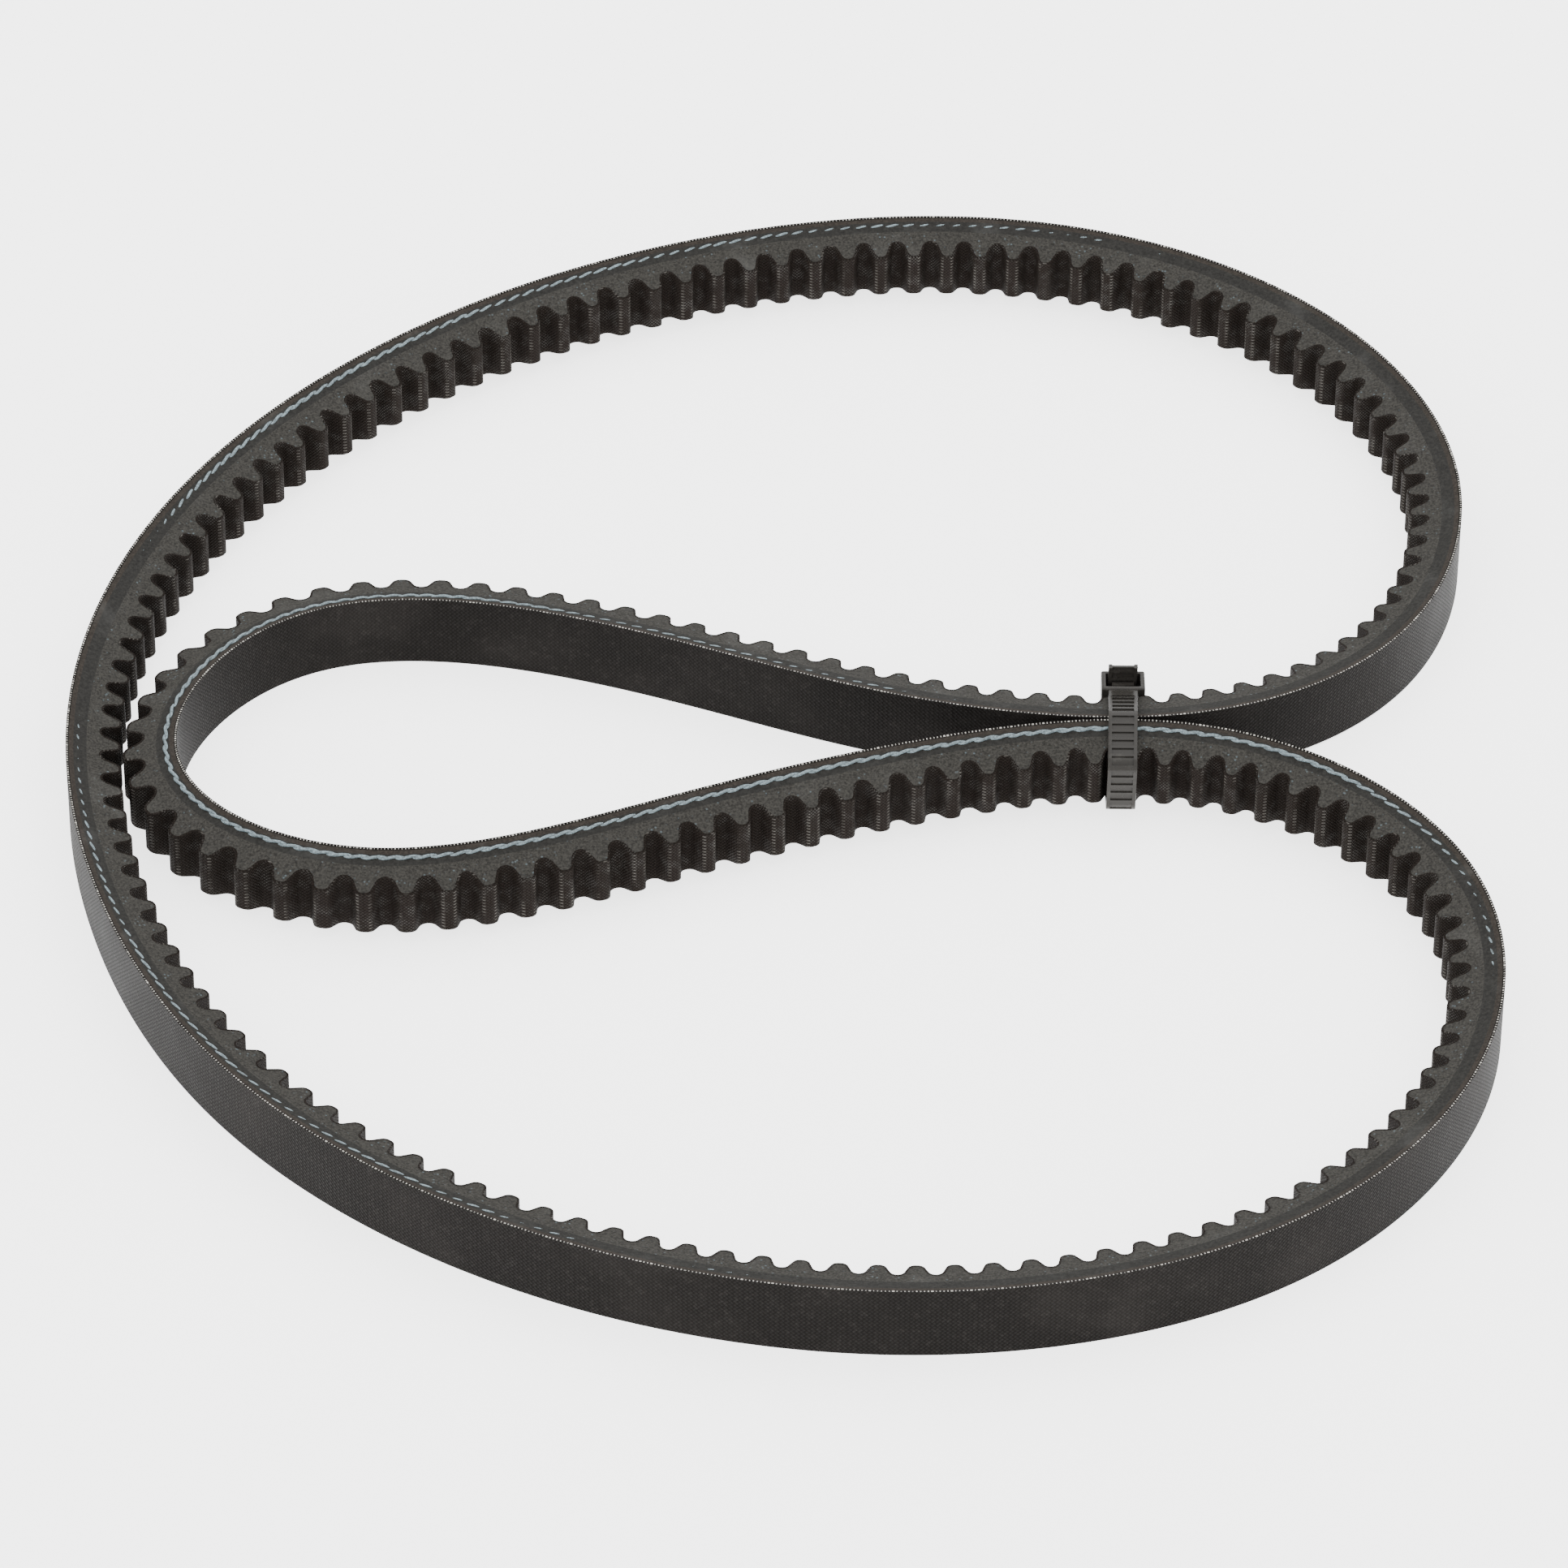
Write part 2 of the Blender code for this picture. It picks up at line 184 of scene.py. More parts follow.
def angle(name, description, degrees):
    """An angle property, given in degrees."""
    return FloatProperty(
        name=name, description=description, default=math.radians(degrees),
        subtype="ANGLE", unit="ROTATION",
    )


def number(name, description, default, subtype="NONE"):
    """A plain number."""
    return FloatProperty(
        name=name, description=description, default=default, subtype=subtype,
    )


def colour(name, description, default):
    """A colour property."""
    return FloatVectorProperty(
        name=name, description=description, default=default, min=0.0, max=1.0,
        size=3, subtype="COLOR",
    )


class BeltSizes(bpy.types.PropertyGroup):
    """The section of the belt and its cogs."""

    top_width: length("Top width", "Width of the back", 13.0 * MM)
    height: length("Height", "From the back to the cog tips", 8.8 * MM)
    flank_angle: angle("Flank angle", "Lean of each flank, half the V", 16.5)
    cog_count: IntProperty(name="Cogs", description="Cogs round the belt", default=202, min=3)
    cog_phase: number("Cog phase", "Shift of the cogs along the route, in pitches", -0.25)
    notch_depth: length("Notch depth", "From cog tip to notch bottom", 3.1 * MM)
    notch_half: number(
        "Notch half width", "Half the notch's flat bottom, in pitches", 0.135, "FACTOR",
    )
    tip_start: number("Tip start", "Where the flat tip starts, in pitches", 0.335, "FACTOR")
    corner_round: length("Corner rounding", "Rounding of the cogs and notches", 0.78 * MM)
    back_fabric: length("Back fabric", "Thickness of the woven back", 0.5 * MM)
    overcord: length("Overcord", "Thickness of the rubber over the cord", 0.75 * MM)
    pitch_depth: length("Pitch line", "From the back to the line of equal cogs", 2.3 * MM)
    cord_depth: length("Cord depth", "From the back to the cord's centre", 1.85 * MM)
    cord_lay: length("Cord lay", "Length of one full twist of the cord", 5.6 * MM)
    cord_radius: length("Cord radius", "From the cord's centre to its strands' centres", 0.21 * MM)
    gum_end: length("Gum end", "From the back to the end of the adhesion gum", 3.35 * MM)
    facing: length("Cog facing", "Thickness of the fabric on the cogs", 0.35 * MM)
    strand_radius: length("Strand radius", "Radius of one of the cord's two strands", 0.28 * MM)
    thread_pitch: number(
        "Thread ends per cog", "Cut fabric threads along the back's edge", 10.5,
    )


class TieSizes(bpy.types.PropertyGroup):
    """The nylon cable tie."""

    strap_width: length("Strap width", "Width of the strap", 4.8 * MM)
    strap_thickness: length("Strap thickness", "Thickness over the rails", 1.0 * MM)
    rail_width: length("Rail width", "Width of each raised side rail", 0.62 * MM)
    rung_pitch: length("Rung pitch", "Distance between the rungs of the ladder", 1.6 * MM)
    rung_width: length("Rung width", "Width of each rung", 0.50 * MM)
    pocket_depth: length("Pocket depth", "Depth of the ladder's pockets", 0.26 * MM)
    corner_radius: length("Corner radius", "Bend of the strap at each corner", 0.9 * MM)
    lift: length("Lift", "How far the strap lifts the belt off the floor", 1.2 * MM)
    lift_spread: length("Lift spread", "How far along the belt the lift reaches", 45.0 * MM)
    head_wall: length("Head wall", "Wall round the head's slot", 0.8 * MM)


class BeltColours(bpy.types.PropertyGroup):
    """Base colours of the finishes."""

    back: colour("Back fabric", "Rubberised weave of the back", (0.0065, 0.0054, 0.0046))
    overcord: colour("Overcord", "Cut edge of the rubber over the cord", (0.024, 0.020, 0.0165))
    gum: colour("Adhesion gum", "Cut edge of the gum under the cord", (0.017, 0.0165, 0.015))
    undercord: colour("Undercord", "Ground edge of the cogged rubber", (0.0265, 0.0252, 0.0222))
    fibre: colour("Fibre", "Short fibres in the undercord", (0.080, 0.100, 0.108))
    dust: colour("Dust", "Talc and dust on the flanks", (0.110, 0.110, 0.105))
    facing: colour("Cog facing", "Fabric on the cogs", (0.0105, 0.0080, 0.0066))
    cord: colour("Cord", "Treated polyester cord", (0.165, 0.212, 0.232))
    # Also the colour of the painted highlight hatch along the cogs' corners.
    thread: colour("Thread ends", "Cut ends of the back's threads", (0.520, 0.500, 0.455))
    nylon: colour("Nylon", "Cable tie", (0.0230, 0.0212, 0.0188))
    floor: colour("Floor", "Plain floor", (0.860, 0.860, 0.860))


class Studio(bpy.types.PropertyGroup):
    """Camera and light."""

    elevation: angle("Elevation", "Camera's height above the horizon", 39.38)
    roll: angle("Roll", "Camera's turn about its own axis", 0.377)
    distance: length("Distance", "From the camera to the point it looks at", 1415.0 * MM)
    aim_x: FloatProperty(
        name="Aim X", description="Point looked at, from left to right",
        default=1.49 * MM, unit="LENGTH",
    )
    aim_y: FloatProperty(
        name="Aim Y", description="Point looked at, from front to rear",
        default=-2.66 * MM, unit="LENGTH",
    )
    lens: number("Lens", "Focal length in millimetres", 198.2)
    key: number("Key light", "Power of the overhead softbox", 9.0)
    fill: number("Fill light", "Power of the front softbox", 5.0)
    floor_glow: number("Floor glow", "Light given off by the floor", 2.6)
    sky: number("Sky", "Strength of the surroundings", 2.0)


# ---------------- the folded route


class Route:
    """The belt's plan, read by distance along its pitch line."""

    def __init__(self, sizes, tie):
        self.sizes = sizes
        self.tie = tie
        back = self.spline(np.array(ROUTE, dtype=float) * MM)
        back -= (back.min(axis=0) + back.max(axis=0)) / 2
        tangent = np.roll(back, -1, axis=0) - np.roll(back, 1, axis=0)
        tangent /= np.linalg.norm(tangent, axis=1)[:, None]
        inward = np.column_stack((-tangent[:, 1], tangent[:, 0]))
        middle = back + inward * sizes.pitch_depth
        steps = np.linalg.norm(np.roll(middle, -1, axis=0) - middle, axis=1)
        self.distance = np.concatenate(([0.0], np.cumsum(steps)))
        self.back = np.vstack((back, back[:1]))
        self.middle = np.vstack((middle, middle[:1]))
        self.length = self.distance[-1]
        self.pitch = self.length / sizes.cog_count

    @staticmethod
    def spline(control):
        """Points along the closed uniform cubic B-spline of the control points."""
        t = np.linspace(0.0, 1.0, ROUTE_SAMPLES, endpoint=False)[:, None]
        weights = (
            (1 - t) ** 3,
            3 * t**3 - 6 * t**2 + 4,
            -3 * t**3 + 3 * t**2 + 3 * t + 1,
            t**3,
        )
        spans = []
        for index in range(len(control)):
            corners = [control[(index + step) % len(control)] for step in (-1, 0, 1, 2)]
            spans.append(sum(weight * corner for weight, corner in zip(weights, corners)) / 6)
        return np.vstack(spans)

    def read(self, line, along):
        """Points of a line at distances along the belt, counted from the first cog."""
        where = (np.asarray(along) + self.sizes.cog_phase * self.pitch) % self.length
        return follow(line, self.distance, where)

    def tie_centre(self):
        """Middle of the two pinched runs, under the middle of the strap."""
        low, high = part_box("tie_strap")
        x = (low.x + high.x) / 2
        near = self.back[np.abs(self.back[:, 0] - x) < 1.0 * MM]
        pinched = near[np.abs(near[:, 1]) < self.sizes.height]
        return np.array((x, pinched[:, 1].mean()))

    def lift(self, along):
        """How far the strap holds the belt off the floor at each distance."""
        away = np.linalg.norm(self.read(self.back, along) - self.tie_centre(), axis=1)
        return self.tie.lift * np.exp(-((away / self.tie.lift_spread) ** 2))

    def guide(self):
        """A closed guide curve along the pitch line."""
        count = self.sizes.cog_count * GUIDE_POINTS_PER_COG
        along = np.linspace(0.0, self.length, count, endpoint=False)
        return add_guide("route_guide", self.read(self.middle, along), closed=True)


def belt_route():
    """The route with the sizes that the panel shows."""
    scene = bpy.context.scene
    return Route(scene.belt_sizes, scene.tie_sizes)


def follow(line, distance, where):
    """Points of a line where its running distance has these values."""
    return np.column_stack([np.interp(where, distance, line[:, axis]) for axis in (0, 1)])


def add_guide(name, points, closed):
    """A flat poly curve to bend a piece round."""
    curve = bpy.data.curves.new(name, "CURVE")
    curve.dimensions = "3D"
    curve.twist_mode = "Z_UP"
    line = curve.splines.new("POLY")
    line.points.add(len(points) - 1)
    flat = np.zeros((len(points), 4))
    flat[:, :2] = points
    line.points.foreach_set("co", flat.ravel())
    line.use_cyclic_u = closed
    guide = bpy.data.objects.new(name, curve)
    bpy.context.scene.collection.objects.link(guide)
    return guide


# ---------------- modelling by hand


def take_up(*pieces):
    """Select only these pieces, the first of them active."""
    bpy.ops.object.select_all(action="DESELECT")
    for piece in pieces:
        piece.select_set(True)
    bpy.context.view_layer.objects.active = pieces[0]


def start_piece(name, low, high):
    """A block between two corners, as the start of a piece."""
    centre = [(a + b) / 2 for a, b in zip(low, high)]
    bpy.ops.mesh.primitive_cube_add(size=1.0, location=centre)
    bpy.context.object.scale = [b - a for a, b in zip(low, high)]
    return settle(name)


def settle(name):
    """Name the new object, and put its place, turn and scale into its mesh."""
    piece = bpy.context.object
    piece.name = name
    piece.data.name = name
    take_up(piece)
    bpy.ops.object.transform_apply(location=True, rotation=True, scale=True)
    return piece


def edit(piece):
    """Go into edit mode with everything selected."""
    take_up(piece)
    bpy.ops.object.mode_set(mode="EDIT")
    bpy.ops.mesh.select_all(action="SELECT")


def leave_edit():
    """Go back to object mode."""
    bpy.ops.object.mode_set(mode="OBJECT")


def pick(piece, kind, wanted):
    """Select only the faces or edges that pass the test."""
    bpy.ops.mesh.select_mode(type="FACE" if kind == "faces" else "EDGE")
    bpy.ops.mesh.select_all(action="DESELECT")
    bm = bmesh.from_edit_mesh(piece.data)
    for element in getattr(bm, kind):
        if wanted(element):
            element.select_set(True)
    bmesh.update_edit_mesh(piece.data)


def cut(axis, places):
    """Bisect everything square to the X, Y or Z axis at each place."""
    square = [float(name == axis) for name in "XYZ"]
    for place in places:
        bpy.ops.mesh.select_all(action="SELECT")
        bpy.ops.mesh.bisect(plane_co=[place * part for part in square], plane_no=square)


def cut_every(run, count):
    """Cut across X so that the run can bend smoothly."""
    cut("X", [run * step / count for step in range(1, count)])


def open_ends(piece, run):
    """Take the end faces off, so that copies join into one band."""

    def is_end(face):
        places = [vertex.co.x for vertex in face.verts]
        return max(places) < CLOSE or min(places) > run - CLOSE

    pick(piece, "faces", is_end)
    bpy.ops.mesh.delete(type="FACE")
    bpy.ops.mesh.select_mode(type="VERT")


def apply_modifier(piece, name, kind, **settings):
    """Add a modifier, set it and apply it."""
    take_up(piece)
    modifier = piece.modifiers.new(name, kind)
    for key, value in settings.items():
        setattr(modifier, key, value)
    bpy.ops.object.modifier_apply(modifier=name)


def repeat(piece, count, step, merge=True):
    """Repeat the piece along X."""
    apply_modifier(
        piece, "repeat", "ARRAY", count=count, use_relative_offset=False,
        use_constant_offset=True, constant_offset_displace=(step, 0, 0),
        use_merge_vertices=merge, merge_threshold=SEAM_MERGE,
    )


def read_all(items, key, width=1, kind=float):
    """One property of every item, as an array with a row for each."""
    values = np.empty(len(items) * width, dtype=kind)
    items.foreach_get(key, values)
    return values.reshape(-1, width)


def read_points(piece):
    """The mesh's points as an array."""
    return read_all(piece.data.vertices, "co", 3)


def write_points(piece, points):
    """Put an array back as the mesh's points."""
    piece.data.vertices.foreach_set("co", points.ravel())
    piece.data.update()


def unroll(piece, along=None):
    """A UV map in metres: along the belt, and up the back and cogs or across the flank."""
    mesh = piece.data
    corners = read_all(mesh.loops, "vertex_index", kind=np.int64)[:, 0]
    totals = read_all(mesh.polygons, "loop_total", kind=np.int64)[:, 0]
    normals = np.repeat(read_all(mesh.polygons, "normal", 3), totals, axis=0)
    place = read_points(piece)[corners]
    on_flank = np.abs(normals[:, 2]) > ON_FLANK
    u = place[:, 0] if along is None else along(place[:, 0])
    u = np.where(on_flank, place[:, 0], u)
    v = np.where(on_flank, place[:, 1], place[:, 2])
    layer = mesh.uv_layers.new(name="belt")
    mesh.uv_layers.active = layer
    layer.data.foreach_set("uv", np.column_stack((u, v)).ravel())


def bend(piece, guide):
    """Bend the straight run round the guide, then take the guide away."""
    apply_modifier(piece, "bend", "CURVE", object=guide, deform_axis="POS_X")
    curve = guide.data
    bpy.data.objects.remove(guide, do_unlink=True)
    bpy.data.curves.remove(curve)


def wrap(piece, route):
    """Lift the straight run where the strap holds it up, and bend it round the route."""
    points = read_points(piece)
    points[:, 2] += route.lift(points[:, 0])
    write_points(piece, points)
    bend(piece, route.guide())


def join_seam(piece):
    """Join the bent run's two open ends."""
    edit(piece)
    pick(piece, "edges", lambda edge: edge.is_boundary)
    bpy.ops.mesh.remove_doubles(threshold=SEAM_GAP)
    leave_edit()


def paint(piece, material):
    """Give the piece its one material."""
    piece.data.materials.clear()
    piece.data.materials.append(material)


def finish_piece(piece, slot, material, smooth=BELT_SMOOTH, stands_in=True):
    """Smooth shading, material and the frame's notes on a finished piece."""
    take_up(piece)
    bpy.ops.object.shade_smooth_by_angle(angle=smooth)
    paint(piece, material)
    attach(piece, body_name())
    if stands_in:
        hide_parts(slot)


# ---------------- straight belt plies


def flank_inset(sizes, depth):
    """How far the V flank has come in at this depth."""
    return depth * math.tan(sizes.flank_angle)


def lean_flanks(piece, sizes, proud=0.0):
    """Bring a block's two sides in to the belt's V flanks, or a little proud of them."""
    points = read_points(piece)
    inset = flank_inset(sizes, points[:, 1] + sizes.pitch_depth) - proud
    upper = points[:, 2] > sizes.top_width / 2
    points[:, 2] = np.where(upper, sizes.top_width - inset, inset)
    write_points(piece, points)


def ready_pitch(piece, route, proud=0.0):
    """Open one pitch's ends, cut it up for bending and lean its flanks."""
    edit(piece)
    open_ends(piece, route.pitch)
    cut_every(route.pitch, BEND_CUTS_PER_COG)
    leave_edit()
    lean_flanks(piece, route.sizes, proud)
    return piece


def pitch_block(name, route, start, end):
    """A block one pitch long: X along the belt, Y into it, Z across it."""
    sizes = route.sizes
    low = (0, start - sizes.pitch_depth, 0)
    return start_piece(name, low, (route.pitch, end - sizes.pitch_depth, sizes.top_width))


def straight_ply(name, route, start, end):
    """One pitch of a plain ply between two depths."""
    return ready_pitch(pitch_block(name, route, start, end), route)


def cog_block(name, route, start, skin):
    """One pitch with its cog raised and rounded, all of it lower by the skin."""
    sizes, pitch = route.sizes, route.pitch
    root = sizes.height - sizes.notch_depth - skin
    foot = sizes.notch_half * pitch + skin
    tip = sizes.tip_start * pitch + skin
    piece = pitch_block(name, route, start, root)
    edit(piece)
    cut("X", (foot, pitch - foot))

    def is_cog_base(face):
        return face.normal.y > SQUARE_ON and foot < face.calc_center_median().x < pitch - foot

    pick(piece, "faces", is_cog_base)
    bpy.ops.mesh.extrude_region_move(TRANSFORM_OT_translate={"value": (0, sizes.notch_depth, 0)})
    taper = (pitch / 2 - tip) / (pitch / 2 - foot)
    bpy.ops.transform.resize(value=(taper, 1, 1), center_override=(pitch / 2, 0, 0))
    corners = (foot, tip, pitch - tip, pitch - foot)

    def is_corner(edge):
        first, second = edge.verts
        upright = abs(first.co.z - second.co.z) > sizes.top_width / 2
        on_cog = first.co.y > root - sizes.pitch_depth - CLOSE
        return upright and on_cog and any(abs(first.co.x - place) < CLOSE for place in corners)

    pick(piece, "edges", is_corner)
    bpy.ops.mesh.bevel(offset=sizes.corner_round, segments=CORNER_SEGMENTS, affect="EDGES")
    leave_edit()
    return piece


def straight_cog(name, route, start, skin):
    """One pitch of the cogged rubber, left a skin below its fabric."""
    return ready_pitch(cog_block(name, route, start, skin), route)


def cog_shell(name, route):
    """One pitch of the fabric that follows the cog and its notches."""
    sizes = route.sizes
    start = sizes.height - sizes.notch_depth - sizes.facing
    piece = cog_block(name, route, start, 0.0)
    edit(piece)
    pick(piece, "faces", lambda face: face.normal.y < ON_COG)
    bpy.ops.mesh.delete(type="FACE")
    leave_edit()
    apply_modifier(
        piece, "shell", "SOLIDIFY", thickness=sizes.facing, offset=-1.0, use_even_offset=True,
    )
    return ready_pitch(piece, route, FACING_PROUD)


def whole_belt(piece, route, along=None):
    """Repeat one straight pitch, unroll it and bend it into the closed belt."""
    repeat(piece, route.sizes.cog_count, route.pitch)
    unroll(piece, along)
    wrap(piece, route)
    join_seam(piece)
    return piece


def cog_profile(route):
    """Places along one pitch, and the distance along the cogs' surface at each."""
    sizes, pitch = route.sizes, route.pitch
    foot, tip = sizes.notch_half * pitch, sizes.tip_start * pitch
    slope = math.hypot(tip - foot, sizes.notch_depth)
    places = np.array((0.0, foot, tip, pitch - tip, pitch - foot, pitch))
    return places, np.cumsum((0.0, foot, slope, pitch - 2 * tip, slope, foot))


def cog_run(route):
    """Distance along the cogs' surface for each distance along the belt."""
    pitch = route.pitch
    places, run = cog_profile(route)

    def along(x):
        whole = np.floor(x / pitch)
        return whole * run[-1] + np.interp(x - whole * pitch, places, run)

    return along


# ---------------- finishes


class Value:
    """A shader value that takes part in plain arithmetic."""

    def __init__(self, finish, socket):
        self.finish = finish
        self.socket = socket

    def maths(self, operation, *values):
        """A Math node on these values."""
        inputs = dict(enumerate(values))
        return self.finish.result("ShaderNodeMath", {"operation": operation}, inputs)

    def __add__(self, other):
        return self.maths("ADD", self, other)

    def __radd__(self, other):
        return self.maths("ADD", other, self)

    def __sub__(self, other):
        return self.maths("SUBTRACT", self, other)

    def __rsub__(self, other):
        return self.maths("SUBTRACT", other, self)

    def __mul__(self, other):
        return self.maths("MULTIPLY", self, other)

    def __truediv__(self, other):
        return self.maths("DIVIDE", self, other)

    def sin(self):
        return self.maths("SINE", self)

    def size(self):
        return self.maths("ABSOLUTE", self)

    def floor(self):
        return self.maths("FLOOR", self)

    def modulo(self, other):
        return self.maths("MODULO", self, other)

    def ramp(self, low, high):
        """0 below low, 1 above high and smooth between."""
        settings = {"interpolation_type": "SMOOTHSTEP", "clamp": True}
        return self.finish.result("ShaderNodeMapRange", settings, {0: self, 1: low, 2: high})


class Finish:
    """A material being mixed for one surface."""

    def __init__(self, name, roughness, specular):
        self.material = bpy.data.materials.new(name)
        self.material.use_nodes = True
        self.tree = self.material.node_tree
        self.tree.nodes.clear()
        settings = {"Roughness": roughness, "Specular IOR Level": specular}
        self.shader = self.node("ShaderNodeBsdfPrincipled", {}, settings)
        surface = Value(self, self.shader.outputs[0])
        self.node("ShaderNodeOutputMaterial", {}, {"Surface": surface})

    def node(self, kind, settings, inputs):
        """Add a node, set it up, then give its sockets their values or links."""
        node = self.tree.nodes.new(kind)
        for key, setting in settings.items():
            setattr(node, key, setting)
        for key, given in inputs.items():
            self.feed(node.inputs[key], given)
        return node

    def result(self, kind, settings, inputs, output=0):
        """Add a node and take one of its results."""
        return Value(self, self.node(kind, settings, inputs).outputs[output])

    def feed(self, socket, given):
        """Link a value to a socket, or set the socket."""
        if isinstance(given, Value):
            self.tree.links.new(given.socket, socket)
        else:
            socket.default_value = given

    def place(self):
        """Object coordinates in metres."""
        return self.result("ShaderNodeTexCoord", {}, {}, "Object")

    def belt_map(self):
        """The piece's own UV map: along the belt and across it, in metres."""
        return self.result("ShaderNodeUVMap", {"uv_map": "belt"}, {})

    def along_and_across(self):
        """The two distances of the belt's UV map, apart."""
        split = self.node("ShaderNodeSeparateXYZ", {}, {0: self.belt_map()})
        return Value(self, split.outputs[0]), Value(self, split.outputs[1])

    def stretch(self, source, axes):
        """Coordinates stretched along each axis."""
        inputs = {0: source, 1: axes}
        return self.result("ShaderNodeVectorMath", {"operation": "MULTIPLY"}, inputs)

    def noise(self, source, scale, detail=3.0, roughness=0.55):
        """Soft irregular noise from 0 to 1."""
        inputs = {"Vector": source, "Scale": scale, "Detail": detail, "Roughness": roughness}
        return self.result("ShaderNodeTexNoise", {}, inputs)

    def cells(self, source, scale):
        """Distance to the nearest of many scattered points."""
        inputs = {"Vector": source, "Scale": scale, "Randomness": 1.0}
        return self.result("ShaderNodeTexVoronoi", {}, inputs)

    def colour(self, first, second, amount):
        """A mix from the first colour to the second."""
        inputs = {0: amount, 6: self.opaque(first), 7: self.opaque(second)}
        return self.result("ShaderNodeMix", {"data_type": "RGBA"}, inputs, 2)

    @staticmethod
    def opaque(given):
        """A colour with its alpha, or a link left as it is."""
        return given if isinstance(given, Value) else (*given, 1.0)

    def set(self, name, given):
        """Set or link one of the shader's sockets."""
        self.feed(self.shader.inputs[name], given)

    def surface(self, tone, roughness, height, depth, strength):
        """The finished material: its colour, its roughness and its bumps' height and depth."""
        bumps = {"Height": height, "Distance": depth, "Strength": strength}
        self.set("Base Color", tone)
        self.set("Roughness", roughness)
        self.set("Normal", self.result("ShaderNodeBump", {}, bumps))
        return self.material


def shade(colour, factor, lift=0.0):
    """A colour made darker or lighter, and lifted towards grey."""
    return tuple(channel * factor + lift for channel in colour)


def woven(u, v, thread):
    """Height of a plain weave with its threads at 45 degrees."""
    turn = math.pi / (thread * math.sqrt(2))
    warp = (u + v) * turn
    weft = (u - v) * turn
    over = ((warp / math.pi).floor() + (weft / math.pi).floor()).modulo(2.0).size()
    warp_thread = warp.sin().size() * (weft.sin().size() * 0.4 + 0.6)
    weft_thread = weft.sin().size() * (warp.sin().size() * 0.4 + 0.6)
    return warp_thread * over + weft_thread * (1.0 - over)


def back_weave(colours):
    """Rubber-soaked fabric of the back: near black, with a faint sheen on its threads, painted as
    lighter thread crowns in spots.
    """
    finish = Finish("back_weave", 0.5, 0.05)
    u, v = finish.along_and_across()
    weave = woven(u, v, BACK_THREAD)
    place = finish.place()
    patches = finish.noise(place, 45.0, 4.0)
    # Spots of painted sheen: the threads' crowns are coloured lighter there, and the bump is
    # raised a little.
    sheen_spots = finish.noise(place, 900.0, 2.0).ramp(0.5, 0.72)
    threads = finish.colour(shade(colours.back, 0.55), colours.back, weave)
    # A lighter tone, for random lighter patches and for the painted sheen on the thread crowns.
    pale_patch_and_sheen = shade(colours.back, 2.6, 0.01)
    tone = finish.colour(threads, pale_patch_and_sheen, patches.ramp(0.42, 0.75) * 0.35 + sheen_spots * weave * 0.35)
    rough = 0.36 + patches * 0.26 + (1.0 - weave) * 0.18
    return finish.surface(tone, rough, weave + sheen_spots * 0.3, 0.10 * MM, 0.75)


def cut_rubber(name, base, dust, grain):
    """A ply seen on the ground flank: fine grain, grinding lines and dust."""
    finish = Finish(name, 0.78, 0.12)
    place = finish.place()
    streaks = finish.noise(finish.stretch(finish.belt_map(), (120.0, 2600.0, 1.0)), 1.0)
    speckle = finish.noise(place, grain, 2.0, 0.7)
    smudge = finish.noise(place, 95.0, 5.0, 0.62)
    tone = finish.colour(shade(base, 0.62), shade(base, 1.55), speckle.ramp(0.3, 0.72))
    tone = finish.colour(tone, base, streaks.ramp(0.3, 0.7) * 0.6)
    tone = finish.colour(tone, dust, smudge.ramp(0.52, 0.82) * 0.28)
    rough = 0.66 + smudge * 0.24
    return finish.surface(tone, rough, speckle * 0.6 + streaks * 0.4, 0.05 * MM, 0.8)


def fibre_rubber(colours):
    """Cogged rubber full of short crosswise fibres, cut through at the flank."""
    finish = Finish("fibre_rubber", 0.8, 0.12)
    place = finish.place()
    base = colours.undercord
    speckle = finish.noise(place, 2600.0, 2.0, 0.7)
    smudge = finish.noise(place, 80.0, 5.0, 0.62)
    wisps = finish.noise(finish.stretch(finish.belt_map(), (700.0, 2100.0, 1.0)), 1.0)
    fleck = 1.0 - finish.cells(place, 1150.0).ramp(0.10, 0.30)
    strong = finish.noise(place, 330.0, 1.0).ramp(0.46, 0.66)
    tone = finish.colour(shade(base, 0.5), shade(base, 1.7), speckle.ramp(0.28, 0.74))
    tone = finish.colour(tone, shade(base, 1.35), wisps.ramp(0.48, 0.7) * 0.6)
    tone = finish.colour(tone, colours.fibre, fleck * strong * 0.85)
    tone = finish.colour(tone, colours.dust, smudge.ramp(0.50, 0.84) * 0.30)
    return finish.surface(tone, 0.68 + smudge * 0.22, speckle * 0.6 + fleck * 0.8, 0.06 * MM, 0.85)


def corner_highlight_hatch(route, u, v):
    """Where the pale painted highlight hatch shows, along each cog's two upper corners."""
    run = cog_profile(route)[1]
    corner = float(0.5 - run[TIP_CORNER] / run[-1])
    from_middle = ((u / float(run[-1])).modulo(1.0) - 0.5).size()
    near = 1.0 - (from_middle - corner).size().ramp(*HIGHLIGHT_HATCH_FADE)
    return near * (v * (2 * math.pi / HIGHLIGHT_HATCH_SPACING)).sin().ramp(0.15, 0.85)


